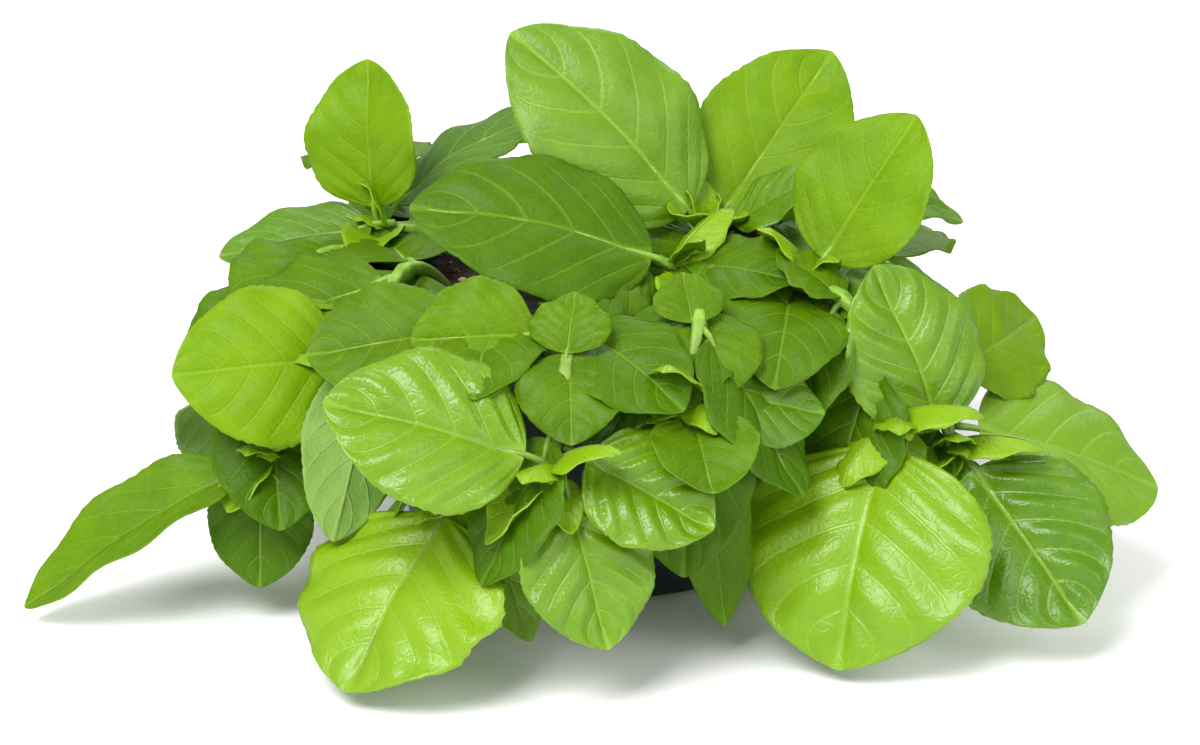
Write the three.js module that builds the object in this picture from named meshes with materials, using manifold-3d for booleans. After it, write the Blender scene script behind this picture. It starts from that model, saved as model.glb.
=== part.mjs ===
// A potted basil plant, in millimetres, +Z up, with its origin at the centre of the pot's base.
// A plain plastic pot holds a cake of soil. Shoots rise from the soil and lean out over the rim, and
// their opposite leaves hang from them, the lowest down to the surface that the pot stands on.
import * as THREE from "three";
import { mergeVertices } from "three/addons/utils/BufferGeometryUtils.js";
import Module from "manifold-3d";

const wasm = await Module();
wasm.setup();

// ---- driving dimensions, in millimetres and degrees ----

const CLEARANCE = 0.3; // the gap left between two pieces that touch

const POT = {
  height: 75,
  rimRadius: 63, // outside, at the top
  baseRadius: 47, // outside, at the foot
  wall: 1.4,
  floor: 1.6,
  collarHeight: 13,
  collarStep: 1.6, // how far the collar stands out from the wall below it
  footChamfer: 1.5,
  drainHoles: 5,
  drainRadius: 4,
  drainCircle: 31, // radius of the circle that the drain holes lie on
  sides: 40,
};

const SOIL = {
  headspace: 3.5, // from the rim down to the soil at the wall
  crown: 2.5, // how much higher the soil is in the middle
  socketDepth: 9, // how deep a stem goes into the soil
};

const STEM = {
  footRadius: 2.1,
  tipRadius: 1.2,
  sides: 8,
  steps: 11,
};

const LEAF = {
  petioleLength: 6,
  petioleRadius: 0.9,
  groove: 0.45, // how deep the groove along the top of a petiole is
  thickness: 0.8, // of the blade, along its midrib
  widest: 0.42, // where a blade is widest, as a share of its length
  fullness: 0.52, // how blunt a blade's outline is: 1 is a slender leaf
  lift: 0.5, // how far a leaf that lies on the surface stays above it
};

// Each shoot's stem runs from its foot in the soil, a distance in from the rim and a heading, towards
// the point "over", and ends at the point "tip". Both points are a distance out from the rim, a
// heading, and a height above the rim, so that the shoots follow the pot's size. A heading of 0 is
// +X, and 90 is +Y, the back.
// A leaf leaves its stem "at" a share of the stem's length. Its heading, its rise above the
// horizontal and its reach are those of the straight line from its base to its tip. Its midrib arches
// by "bend", its blade is domed across by "curl", and it is turned about that line by "roll".
const SHOOTS = [
  {
    name: "left_high",
    foot: [29, 170],
    over: [-21, 175, 9],
    tip: [-9, 175, 2],
    leaves: [
      { at: 1.0, heading: 110, rise: 80, reach: 42, width: 31, bend: 45, curl: -40, roll: -45 },
      { at: 0.96, heading: 21, rise: 26, reach: 54, width: 28, bend: 60, curl: 20, roll: 0 },
      { at: 0.86, heading: 190, rise: -8, reach: 44, width: 25, bend: 30, curl: 30, roll: -20 },
    ],
  },
  {
    name: "left",
    foot: [25, 205],
    over: [-2, 218, 23],
    tip: [11, 224, -11],
    leaves: [
      { at: 1.0, heading: 195, rise: 0, reach: 46, width: 40, bend: 35, curl: 30, roll: -55 },
      { at: 0.8, heading: 152, rise: 4, reach: 38, width: 22, bend: 40, curl: 20, roll: -10 },
      { at: 0.92, heading: 251, rise: -54, reach: 49, width: 25, bend: -15, curl: -30, roll: 145 },
    ],
  },
  {
    name: "far_left",
    foot: [23, 182],
    over: [24, 193, 28],
    tip: [32, 215, -34],
    leaves: [
      { at: 1.0, heading: 186, rise: -32, reach: 68, width: 26, bend: 25, curl: -60, roll: -20 },
      { at: 0.97, heading: 265, rise: -75, reach: 34, width: 26, bend: 20, curl: 30, roll: 0 },
      { at: 0.75, heading: 115, rise: -50, reach: 56, width: 34, bend: 40, curl: 30, roll: 0 },
    ],
  },
  {
    name: "front",
    foot: [29, 262],
    over: [21, 266, 24],
    tip: [35, 264, -22],
    leaves: [
      { at: 0.97, heading: 181, rise: 17, reach: 52, width: 40, bend: 40, curl: 30, roll: -45 },
      { at: 0.92, heading: 348, rise: -26, reach: 38, width: 30, bend: 30, curl: 30, roll: 40 },
      { at: 1.0, heading: 310, rise: -66, reach: 40, width: 32, bend: 30, curl: 20, roll: 20 },
      { at: 0.57, heading: 186, rise: 0, reach: 34, width: 28, bend: 30, curl: 20, roll: -55 },
    ],
  },
  {
    name: "low_left",
    foot: [25, 240],
    over: [21, 252, 26],
    tip: [21, 248, -35],
    leaves: [
      { at: 1.0, heading: 230, rise: -42, reach: 52, width: 58, bend: 35, curl: 30, roll: 0 },
      { at: 0.96, heading: 320, rise: -62, reach: 38, width: 24, bend: 30, curl: 20, roll: 0 },
      { at: 0.85, heading: 140, rise: -46, reach: 34, width: 24, bend: 30, curl: 20, roll: -20 },
      { at: 0.5, heading: 182, rise: -8, reach: 40, width: 30, bend: 30, curl: 20, roll: -45 },
    ],
  },
  {
    name: "top",
    foot: [49, 300],
    over: [-37, 329, -1],
    tip: [-33, 332, 9],
    leaves: [
      { at: 1.0, heading: 171, rise: 45, reach: 66, width: 44, bend: 50, curl: 30, roll: -50 },
      { at: 0.93, heading: 40, rise: 44, reach: 56, width: 38, bend: 20, curl: -20, roll: 40 },
      { at: 0.93, heading: 285, rise: -13, reach: 49, width: 23, bend: 70, curl: 20, roll: 0 },
      { at: 1.0, heading: 345, rise: 35, reach: 30, width: 18, bend: 30, curl: 20, roll: 30 },
    ],
  },
  {
    name: "middle",
    foot: [41, 262],
    over: [-28, 283, 13],
    tip: [-23, 297, 6],
    leaves: [
      { at: 0.96, heading: 186, rise: 15, reach: 64, width: 41, bend: 50, curl: 30, roll: -38 },
    ],
  },
  {
    name: "right_high",
    foot: [29, 335],
    over: [-8, 334, 11],
    tip: [-1, 322, 3],
    leaves: [
      { at: 1.0, heading: 18, rise: 56, reach: 46, width: 34, bend: 20, curl: -20, roll: 40 },
      { at: 0.85, heading: 330, rise: -14, reach: 24, width: 18, bend: 20, curl: 20, roll: 0 },
    ],
  },
  {
    name: "right",
    foot: [19, 350],
    over: [15, 342, 29],
    tip: [39, 324, -31],
    leaves: [
      { at: 1.0, heading: 150, rise: 64, reach: 47, width: 38, bend: 30, curl: 30, roll: -30 },
      { at: 0.8, heading: 55, rise: 4, reach: 44, width: 30, bend: 40, curl: 20, roll: 50 },
      { at: 0.93, heading: 16, rise: -22, reach: 57, width: 46, bend: 30, curl: 20, roll: 30 },
      { at: 1.0, heading: 315, rise: -40, reach: 50, width: 44, bend: 30, curl: 40, roll: 35 },
    ],
  },
  {
    name: "front_right",
    foot: [21, 318],
    over: [18, 318, 27],
    tip: [30, 317, -23],
    leaves: [
      { at: 1.0, heading: 247, rise: -56, reach: 58, width: 63, bend: 50, curl: 25, roll: 0 },
    ],
  },
  {
    name: "low_right",
    foot: [25, 305],
    over: [15, 289, 25],
    tip: [18, 284, -11],
    leaves: [
      { at: 0.9, heading: 184, rise: -16, reach: 36, width: 28, bend: 30, curl: 30, roll: -35 },
      { at: 0.97, heading: 8, rise: -12, reach: 31, width: 24, bend: 30, curl: 30, roll: 40 },
      { at: 1.0, heading: 282, rise: -26, reach: 28, width: 26, bend: 20, curl: -60, roll: 0 },
      { at: 1.0, heading: 343, rise: -82, reach: 55, width: 18, bend: 30, curl: 20, roll: 60 },
      { at: 0.76, heading: 190, rise: -76, reach: 62, width: 28, bend: 30, curl: 20, roll: 0 },
    ],
  },
  {
    name: "back_left",
    foot: [27, 140],
    over: [8, 135, 29],
    tip: [19, 135, -17],
    leaves: [
      { at: 1.0, heading: 145, rise: -45, reach: 62, width: 42, bend: 40, curl: 30, roll: 0 },
      { at: 0.9, heading: 215, rise: -30, reach: 52, width: 36, bend: 40, curl: 30, roll: 0 },
      { at: 0.85, heading: 75, rise: -25, reach: 46, width: 36, bend: 40, curl: 30, roll: 0 },
    ],
  },
  {
    name: "back",
    foot: [29, 90],
    over: [7, 90, 29],
    tip: [17, 90, -19],
    leaves: [
      { at: 1.0, heading: 95, rise: -45, reach: 62, width: 48, bend: 40, curl: 30, roll: 0 },
      { at: 0.8, heading: 165, rise: -4, reach: 44, width: 32, bend: 50, curl: 30, roll: 20 },
      { at: 0.85, heading: 25, rise: -4, reach: 46, width: 34, bend: 50, curl: 30, roll: 0 },
    ],
  },
  {
    name: "back_right",
    foot: [27, 40],
    over: [8, 38, 29],
    tip: [20, 37, -19],
    leaves: [
      { at: 1.0, heading: 30, rise: -40, reach: 60, width: 44, bend: 40, curl: 30, roll: 0 },
      { at: 0.92, heading: 308, rise: -42, reach: 50, width: 36, bend: 40, curl: 30, roll: 0 },
      { at: 0.86, heading: 100, rise: -44, reach: 60, width: 40, bend: 40, curl: 30, roll: 0 },
      { at: 0.7, heading: 160, rise: 8, reach: 44, width: 30, bend: 50, curl: 30, roll: 0 },
    ],
  },
];

// ---- shapes that several pieces share ----

const SKY = new THREE.Vector3(0, 0, 1);
const radians = THREE.MathUtils.degToRad;
const lerp = THREE.MathUtils.lerp;

// The direction of a heading round the pot's axis and a rise above the horizontal.
function direction(heading, rise) {
  const a = radians(heading);
  const b = radians(rise);
  return new THREE.Vector3(Math.cos(b) * Math.cos(a), Math.cos(b) * Math.sin(a), Math.sin(b));
}

// The part of a vector that is square to a unit vector, made one unit long.
function squareTo(vector, unit) {
  return vector.clone().addScaledVector(unit, -vector.dot(unit)).normalize();
}

function solidOf(geometry) {
  const bare = geometry.clone();
  bare.deleteAttribute("normal");
  bare.deleteAttribute("uv");
  const merged = mergeVertices(bare, 1e-4);
  const triVerts = new Uint32Array(merged.index.array);
  const vertProperties = new Float32Array(merged.attributes.position.array);
  return new wasm.Manifold(new wasm.Mesh({ numProp: 3, vertProperties, triVerts }));
}

function geometryOf(solid) {
  const mesh = solid.getMesh();
  const geometry = new THREE.BufferGeometry();
  geometry.setAttribute("position", new THREE.BufferAttribute(mesh.vertProperties, 3));
  geometry.setIndex(new THREE.BufferAttribute(mesh.triVerts, 1));
  geometry.computeVertexNormals();
  return geometry;
}

// Turns a profile of [radius, height] pairs about +Z.
function turned(profile) {
  const points = profile.map(([r, z]) => new THREE.Vector2(r, z));
  return new THREE.LatheGeometry(points, POT.sides).rotateX(Math.PI / 2);
}

// Moves each vertex of a geometry to where place(vertex) puts it.
function reshaped(geometry, place) {
  const position = geometry.attributes.position;
  const vertex = new THREE.Vector3();
  for (let i = 0; i < position.count; i++) {
    vertex.fromBufferAttribute(position, i);
    position.setXYZ(i, ...place(vertex));
  }
  geometry.computeVertexNormals();
  return geometry;
}

// ---- pot ----

const collarFoot = POT.height - POT.collarHeight;

// The pot's outside radius on the tapered wall, without the collar.
function wallRadius(z) {
  return lerp(POT.baseRadius, POT.rimRadius - POT.collarStep, z / POT.height);
}

// The inside of the pot from the floor to just below the rim, as [radius, height] pairs.
const INSIDE = [
  [wallRadius(POT.floor) - POT.wall, POT.floor],
  [wallRadius(collarFoot) - POT.wall, collarFoot - POT.wall],
  [wallRadius(collarFoot) + POT.collarStep - POT.wall, collarFoot + POT.wall],
  [POT.rimRadius - 2 * POT.wall, POT.height - POT.wall / 3],
];

function potGeometry() {
  const { height, rimRadius, baseRadius, wall, footChamfer, collarStep } = POT;
  const outside = [
    [0, 0],
    [baseRadius - footChamfer, 0],
    [baseRadius, footChamfer],
    [wallRadius(collarFoot), collarFoot],
    [wallRadius(collarFoot) + collarStep, collarFoot + collarStep / 2],
    [rimRadius, height - wall / 3],
    [rimRadius - wall / 3, height],
    [rimRadius - (5 * wall) / 3, height],
  ];
  let pot = solidOf(turned([...outside, ...INSIDE.toReversed(), [0, POT.floor]]));
  for (let i = 0; i < POT.drainHoles; i++) {
    const { x, y } = direction((360 * (i + 0.5)) / POT.drainHoles, 0).multiplyScalar(POT.drainCircle);
    const drill = new THREE.CylinderGeometry(POT.drainRadius, POT.drainRadius, 4 * POT.floor, 16);
    pot = pot.subtract(solidOf(drill.rotateX(Math.PI / 2).translate(x, y, 0)));
  }
  return geometryOf(pot);
}

// ---- soil ----

const soilRadius = Math.min(INSIDE[2][0], INSIDE[3][0]) - CLEARANCE;

// The height of the soil's domed top, a distance out from the pot's axis.
function soilHeight(distance) {
  return POT.height - SOIL.headspace + SOIL.crown * (1 - (distance / soilRadius) ** 2);
}

function soilGeometry(stems) {
  const side = INSIDE.slice(0, 3).map(([r, z], i) => [r - CLEARANCE, i === 0 ? z + CLEARANCE : z]);
  const top = [1, 0.75, 0.5, 0.25, 0].map((share) => [soilRadius * share, soilHeight(soilRadius * share)]);
  let soil = solidOf(turned([[0, POT.floor + CLEARANCE], ...side, ...top]));
  for (const stem of stems) soil = soil.subtract(solidOf(stemGeometry(stem, CLEARANCE)));
  return geometryOf(soil);
}

// ---- stems ----

// The point a distance out from the pot's rim and a height above it.
function fromRim([out, heading, above]) {
  const point = direction(heading, 0).multiplyScalar(POT.rimRadius + out);
  return point.setZ(POT.height + above);
}

// The curve of a shoot's stem, from the bottom of its socket in the soil to its tip.
function stemCurve({ foot: [inward, heading], over, tip }) {
  const distance = POT.rimRadius - inward;
  const foot = direction(heading, 0).multiplyScalar(distance);
  foot.setZ(soilHeight(distance) - SOIL.socketDepth);
  return new THREE.QuadraticBezierCurve3(foot, fromRim(over), fromRim(tip));
}

function stemRadius(share) {
  return lerp(STEM.footRadius, STEM.tipRadius, share);
}

// A tapered rod along the stem's curve, fatter and longer all round by "grow".
function stemGeometry(curve, grow = 0) {
  const frames = curve.computeFrenetFrames(STEM.steps);
  const rod = new THREE.CylinderGeometry(1, 1, STEM.steps, STEM.sides, STEM.steps);
  return reshaped(rod, ({ x, y, z }) => {
    const step = Math.round(y + STEM.steps / 2);
    const share = step / STEM.steps;
    const past = step === 0 ? -grow : step === STEM.steps ? grow : 0;
    const radius = stemRadius(share) + grow;
    return curve
      .getPointAt(share)
      .addScaledVector(frames.tangents[step], past)
      .addScaledVector(frames.normals[step], radius * x)
      .addScaledVector(frames.binormals[step], -radius * z);
  });
}

// ---- leaves ----

const SECTION_SIDES = 8; // corners round a petiole and a blade
const BLADE_ROWS = [0.1, 0.27, 0.45, 0.63, 0.8, 0.93]; // shares of the blade's length
const LEAF_ROWS = BLADE_ROWS.length + 3; // with both ends of the petiole, and the tip

// Half the blade's width at a share of its length, as a share of its widest.
function outline(t) {
  const rise = LEAF.fullness;
  const fall = (rise * (1 - LEAF.widest)) / LEAF.widest;
  return (t / LEAF.widest) ** rise * ((1 - t) / (1 - LEAF.widest)) ** fall;
}

// The share of the leaf's length, the half width and the half thickness of a row across the leaf.
function leafRow(row, petioleShare, width) {
  if (row === 0) return [0, 0, 0];
  if (row <= 2) return [row === 1 ? 0 : petioleShare, LEAF.petioleRadius, LEAF.petioleRadius];
  if (row === LEAF_ROWS) return [1, 0, 0];
  const t = BLADE_ROWS[row - 3];
  return [lerp(petioleShare, 1, t), (width / 2) * outline(t), (LEAF.thickness / 2) * (1 - t / 2)];
}

// A leaf as one closed skin, with its base at the origin, its tip along +X and its upper side to +Z.
// Where a point of it would be under the surface that the pot stands on, it is lifted along "sky".
function leafGeometry({ reach, width, bend, curl }, base, sky) {
  const halfBend = radians(bend) / 2;
  const archRadius = reach / (2 * Math.sin(halfBend));
  const petioleShare = LEAF.petioleLength / (2 * archRadius * halfBend);
  const domeRadius = width / radians(curl);
  const ball = new THREE.SphereGeometry(1, SECTION_SIDES, LEAF_ROWS);
  return reshaped(ball, ({ x, y, z }) => {
    const row = Math.round((Math.acos(THREE.MathUtils.clamp(y, -1, 1)) * LEAF_ROWS) / Math.PI);
    const [share, halfWidth, halfThickness] = leafRow(row, petioleShare, width);
    const corner = Math.atan2(z, x);
    const grooved = row === 1 || row === 2 ? Math.max(Math.sin(corner), 0) ** 8 * LEAF.groove : 0;
    const across = (halfWidth * Math.cos(corner)) / domeRadius;
    const above = halfThickness * Math.sin(corner) - grooved;
    const along = halfBend * (1 - 2 * share);
    const fromArch = archRadius + domeRadius * (Math.cos(across) - 1) + above * Math.cos(across);
    const point = new THREE.Vector3(
      archRadius * Math.sin(halfBend) - fromArch * Math.sin(along),
      domeRadius * Math.sin(across) + above * Math.sin(across),
      fromArch * Math.cos(along) - archRadius * Math.cos(halfBend),
    );
    const lowest = LEAF.lift + LEAF.thickness / 2 + above;
    const height = base.z + point.dot(sky);
    return point.addScaledVector(sky, Math.max(lowest - height, 0));
  });
}

function leafMesh(leaf, curve) {
  const chord = direction(leaf.heading, leaf.rise);
  const up = squareTo(SKY, chord).applyAxisAngle(chord, radians(leaf.roll));
  const side = up.clone().cross(chord);
  const start = chord.clone().applyAxisAngle(side, -radians(leaf.bend) / 2);
  const stemWay = curve.getTangentAt(leaf.at);
  const standOff = stemRadius(leaf.at) + CLEARANCE + LEAF.petioleRadius * Math.abs(start.dot(stemWay));
  const base = curve.getPointAt(leaf.at).addScaledVector(squareTo(start, stemWay), standOff);
  const turn = new THREE.Matrix4().makeBasis(chord, side, up);
  const sky = SKY.clone().applyMatrix4(turn.clone().transpose());
  const mesh = new THREE.Mesh(leafGeometry(leaf, base, sky), leafFinish());
  mesh.position.copy(base);
  mesh.quaternion.setFromRotationMatrix(turn);
  return mesh;
}

// ---- finishes ----

function finish(color, roughness) {
  return new THREE.MeshStandardMaterial({ color, roughness, metalness: 0 });
}

const leafFinish = () => finish(0x6ea03c, 0.45);
const stemFinish = () => finish(0x9ab84e, 0.5);

// ---- the plant ----

function named(name, geometry, material) {
  const mesh = new THREE.Mesh(geometry, material);
  mesh.name = name;
  return mesh;
}

const group = new THREE.Group();
const curves = SHOOTS.map(stemCurve);
group.add(named("pot", potGeometry(), finish(0x14201f, 0.4)));
group.add(named("soil", soilGeometry(curves), finish(0x2b211a, 0.95)));
SHOOTS.forEach((shoot, i) => {
  group.add(named(`stem_${shoot.name}`, stemGeometry(curves[i]), stemFinish()));
  shoot.leaves.forEach((leaf, j) => {
    const mesh = leafMesh(leaf, curves[i]);
    mesh.name = `leaf_${shoot.name}_${j + 1}`;
    group.add(mesh);
  });
});

export default group;
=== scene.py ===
import bpy, bmesh
import math, random
from mathutils import Matrix, Vector, noise


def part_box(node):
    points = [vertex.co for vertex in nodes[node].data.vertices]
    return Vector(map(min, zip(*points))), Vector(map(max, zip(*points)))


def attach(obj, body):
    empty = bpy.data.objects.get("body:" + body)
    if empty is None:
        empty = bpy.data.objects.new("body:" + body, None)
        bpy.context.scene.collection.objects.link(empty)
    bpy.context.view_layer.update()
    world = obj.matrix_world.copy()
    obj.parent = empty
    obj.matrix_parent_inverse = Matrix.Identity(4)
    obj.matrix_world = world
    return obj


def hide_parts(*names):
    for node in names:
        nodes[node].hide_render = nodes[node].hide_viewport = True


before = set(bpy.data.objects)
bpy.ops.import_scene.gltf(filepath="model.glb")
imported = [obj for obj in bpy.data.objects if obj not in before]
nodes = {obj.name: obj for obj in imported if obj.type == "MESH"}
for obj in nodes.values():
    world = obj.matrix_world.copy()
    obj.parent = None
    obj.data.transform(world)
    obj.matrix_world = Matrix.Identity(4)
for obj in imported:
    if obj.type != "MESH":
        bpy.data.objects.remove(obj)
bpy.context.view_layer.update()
MM = 0.001

# ---- The bench ----
# A pale, matt bench top, seen a little from above through a long lens. A big soft light stands over
# the left shoulder, a weaker one fills from the right, and pale walls all round light the rest.

VIEW_RISE = math.radians(20)
VIEW_DISTANCE = 0.9
VIEW_CENTRE = Vector((0, 0, 0.042))
LENS_MM = 108
BENCH_SIZE = 4.0
BENCH_COLOUR = (0.95, 0.95, 0.945, 1)
BENCH_SPECKLE = (0.98, 0.98, 0.975, 1)
WALL_COLOUR = (1.0, 1.0, 0.99, 1)
WALL_STRENGTH = 0.62
SOFT_LIGHTS = {
    # place, size in metres, watts
    "window": ((-0.6, -1.0, 1.45), 0.9, 38),
    "fill": ((1.2, -1.2, 1.0), 1.1, 12),
    "back_light": ((0.4, 1.3, 1.2), 1.0, 12),
}


class Shade:
    """A value over a surface. Its operators add Math nodes, and node() adds any other node. A number
    or another Shade can stand beside it in a sum."""

    def __init__(self, tree, socket=None):
        self.tree = tree
        self.socket = socket

    def node(self, kind, settings=(), inputs=(), output=0):
        made = self.tree.nodes.new(kind)
        for name, value in dict(settings).items():
            if name == "stops":
                made.color_ramp.elements[0].position, made.color_ramp.elements[0].color = value[0]
                made.color_ramp.elements[1].position, made.color_ramp.elements[1].color = value[-1]
                for position, colour in value[1:-1]:
                    made.color_ramp.elements.new(position).color = colour
            else:
                setattr(made, name, value)
        for name, value in dict(inputs).items():
            if isinstance(value, Shade):
                self.tree.links.new(value.socket, made.inputs[name])
            else:
                made.inputs[name].default_value = value
        return Shade(self.tree, made.outputs[output])

    def math(self, operation, first, second=0.0):
        return self.node("ShaderNodeMath", {"operation": operation}, {0: first, 1: second})

    def __add__(self, other): return self.math("ADD", self, other)
    def __radd__(self, other): return self.math("ADD", other, self)
    def __sub__(self, other): return self.math("SUBTRACT", self, other)
    def __rsub__(self, other): return self.math("SUBTRACT", other, self)
    def __mul__(self, other): return self.math("MULTIPLY", self, other)
    def __rmul__(self, other): return self.math("MULTIPLY", other, self)
    def __truediv__(self, other): return self.math("DIVIDE", self, other)
    def __pow__(self, other): return self.math("POWER", self, other)
    def __abs__(self): return self.math("ABSOLUTE", self)

    def rising(self, low, high):
        """0 where this is below low, 1 where it is above high, and smooth between."""
        return self.node("ShaderNodeMapRange", {"interpolation_type": "SMOOTHSTEP"},
                         {"Value": self, "From Min": low, "From Max": high})

    def mix(self, colour, other):
        """The first colour where this is 0, and the other where it is 1."""
        return self.node("ShaderNodeMix", {"data_type": "RGBA"}, {0: self, 6: colour, 7: other}, 2)

    def part(self, place):
        """One part of this vector: 0 is x, 1 is y and 2 is z."""
        return self.node("ShaderNodeSeparateXYZ", (), {0: self}, place)

    def noise(self, at, size, detail=3.0, roughness=0.55):
        """Soft mottling, about 0.5 on average, with spots of a size in metres."""
        return self.node("ShaderNodeTexNoise", (), {"Vector": at, "Scale": 1 / size, "Detail": detail,
                                                    "Roughness": roughness})

    def bump(self, height, distance, strength=1.0):
        """A normal for a height from 0 to 1 that stands for a distance in metres."""
        return self.node("ShaderNodeBump", (), {"Height": height, "Distance": distance,
                                                "Strength": strength})


def new_material(name):
    """An empty material, a Shade to build it from, and the place of each point on the piece."""
    material = bpy.data.materials.new(name)
    material.use_nodes = True
    material.node_tree.nodes.clear()
    shade = Shade(material.node_tree)
    return material, shade, shade.node("ShaderNodeTexCoord", output="Object")


def finished(shade, surface):
    """Joins the last shader to the material's output."""
    output = shade.tree.nodes.new("ShaderNodeOutputMaterial")
    shade.tree.links.new(surface.socket, output.inputs["Surface"])


def rgb(red, green, blue):
    """A colour given as it is seen, from 0 to 255, as the linear colour that a shader takes."""
    seen = [part / 255 for part in (red, green, blue)]
    return (*(c / 12.92 if c < 0.0404 else ((c + 0.055) / 1.055) ** 2.4 for c in seen), 1.0)


def new_piece(name, shape, materials, slot=None, replaces=()):
    """Makes a bmesh a piece of the plant: its object, its materials and what it stands for."""
    data = bpy.data.meshes.new(name)
    for face in shape.faces:
        face.smooth = True
    shape.to_mesh(data)
    shape.free()
    for material in materials:
        data.materials.append(material)
    piece = bpy.data.objects.new(name, data)
    bpy.context.collection.objects.link(piece)
    if slot:
        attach(piece, "root")
        if replaces:
            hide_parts(*replaces)
    return piece


camera = bpy.data.objects.new("camera", bpy.data.cameras.new("camera"))
camera.data.lens = LENS_MM
camera.data.clip_end = 20
camera.location = VIEW_CENTRE + VIEW_DISTANCE * Vector((0, -math.cos(VIEW_RISE), math.sin(VIEW_RISE)))
camera.rotation_euler = (math.pi / 2 - VIEW_RISE, 0, 0)
bpy.context.collection.objects.link(camera)
bpy.context.scene.camera = camera

for name, (place, size, watts) in SOFT_LIGHTS.items():
    light = bpy.data.objects.new(name, bpy.data.lights.new(name, "AREA"))
    light.data.size = size
    light.data.energy = watts
    light.location = place
    light.rotation_euler = (VIEW_CENTRE - light.location).to_track_quat("-Z", "Y").to_euler()
    bpy.context.collection.objects.link(light)

world = bpy.data.worlds.new("pale_walls")
world.use_nodes = True
world.node_tree.nodes["Background"].inputs["Color"].default_value = WALL_COLOUR
world.node_tree.nodes["Background"].inputs["Strength"].default_value = WALL_STRENGTH
bpy.context.scene.world = world
bpy.context.scene.view_settings.view_transform = "Standard"  # keeps the greens as full as they are seen

bench_finish, shade, at = new_material("matt_bench")
speckle = shade.noise(at, 0.004)
finished(shade, shade.node("ShaderNodeBsdfPrincipled", (), {
    "Base Color": speckle.mix(BENCH_COLOUR, BENCH_SPECKLE),
    "Roughness": 0.8,
    "Normal": shade.bump(speckle, 0.00005),
}))
bench = bmesh.new()
bmesh.ops.create_grid(bench, x_segments=1, y_segments=1, size=BENCH_SIZE / 2)
new_piece("bench_top", bench, [bench_finish])

# ---- The pot ----
# A thin nursery pot, moulded in near-black plastic. It is turned from one outline: a chamfered foot,
# a tapering wall, a collar that stands a little proud, and a rolled rim. Holes drain its floor.

POT_STEPS = 96
POT_LIP = 0.7 * MM  # how round the rim's edges are
POT_COLOUR = rgb(20, 30, 31)
POT_DUST = rgb(58, 62, 56)

pot_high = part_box("pot")[1]
POT_HEIGHT = pot_high.z
POT_RADIUS = pot_high.x
POT_BASE = 47 * MM
POT_WALL = 1.4 * MM
POT_FLOOR = 1.6 * MM
GROOVE = 13 * MM  # the height of the fine groove that runs round the foot of the wall
GROOVE_DEPTH = 0.25 * MM
COLLAR = 13 * MM
COLLAR_STEP = 1.6 * MM
HOLES = 5
HOLE_RADIUS = 4 * MM
HOLE_CIRCLE = 31 * MM


def wall_radius(z):
    """The outside radius of the tapering wall at a height."""
    return POT_BASE + (POT_RADIUS - COLLAR_STEP - POT_BASE) * z / POT_HEIGHT


def turned(outline, steps):
    """A shape turned about the upright axis from an outline of [radius, height] pairs."""
    shape = bmesh.new()
    corners = [shape.verts.new((r, 0, z)) for r, z in outline]
    edges = [shape.edges.new(pair) for pair in zip(corners, corners[1:])]
    bmesh.ops.spin(shape, geom=corners + edges, axis=(0, 0, 1), angle=math.tau, steps=steps, use_merge=True)
    bmesh.ops.remove_doubles(shape, verts=shape.verts, dist=1e-7)
    bmesh.ops.recalc_face_normals(shape, faces=shape.faces)
    return shape


pot_finish, shade, at = new_material("dark_plastic")
grain = shade.noise(at, 0.0006, 2)
dust = shade.noise(at, 0.02, 5, 0.7).rising(0.52, 0.8)
finished(shade, shade.node("ShaderNodeBsdfPrincipled", (), {
    "Base Color": (0.45 * dust).mix(POT_COLOUR, POT_DUST),
    "Roughness": 0.34 + 0.12 * grain + 0.25 * dust,
    "Normal": shade.bump(grain, 0.00006, 0.6),
    "Specular IOR Level": 0.45,
}))
collar_foot = POT_HEIGHT - COLLAR
outside = [(0, 0), (POT_BASE - 2.2 * MM, 0), (POT_BASE - 1.2 * MM, 0.3 * MM), (POT_BASE - 0.3 * MM, 1.2 * MM),
           (wall_radius(2.2 * MM), 2.2 * MM)]
for z, depth in ((GROOVE - 1.0 * MM, 0), (GROOVE - 0.4 * MM, 0), (GROOVE + 0.2 * MM, GROOVE_DEPTH),
                 (GROOVE + 0.8 * MM, 0)):
    outside.append((wall_radius(z) - depth, z))
outside += [(wall_radius(collar_foot - 0.3 * MM), collar_foot - 0.3 * MM),
            (wall_radius(collar_foot) + COLLAR_STEP - 0.4 * MM, collar_foot + 0.3 * MM),
            (wall_radius(collar_foot) + COLLAR_STEP, collar_foot + 1.0 * MM)]
rim = [(POT_RADIUS - 0.1 * MM, POT_HEIGHT - 2.4 * MM), (POT_RADIUS, POT_HEIGHT - 2.0 * MM)]
for turn in range(0, 181, 30):
    angle = math.radians(turn)
    rim.append((POT_RADIUS - POT_LIP * (1 - math.cos(angle)) - (POT_WALL if turn > 90 else 0),
                POT_HEIGHT - POT_LIP * (1 - math.sin(angle))))
inside = [(POT_RADIUS - 2 * POT_WALL, POT_HEIGHT - 2.4 * MM),
          (wall_radius(collar_foot) + COLLAR_STEP - POT_WALL, collar_foot + POT_WALL),
          (wall_radius(collar_foot) - POT_WALL, collar_foot - POT_WALL),
          (wall_radius(POT_FLOOR) - POT_WALL, POT_FLOOR), (0, POT_FLOOR)]
pot = new_piece("nursery_pot", turned(outside + rim + inside, POT_STEPS), [pot_finish], "pot", ["pot"])
drills = bmesh.new()
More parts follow.
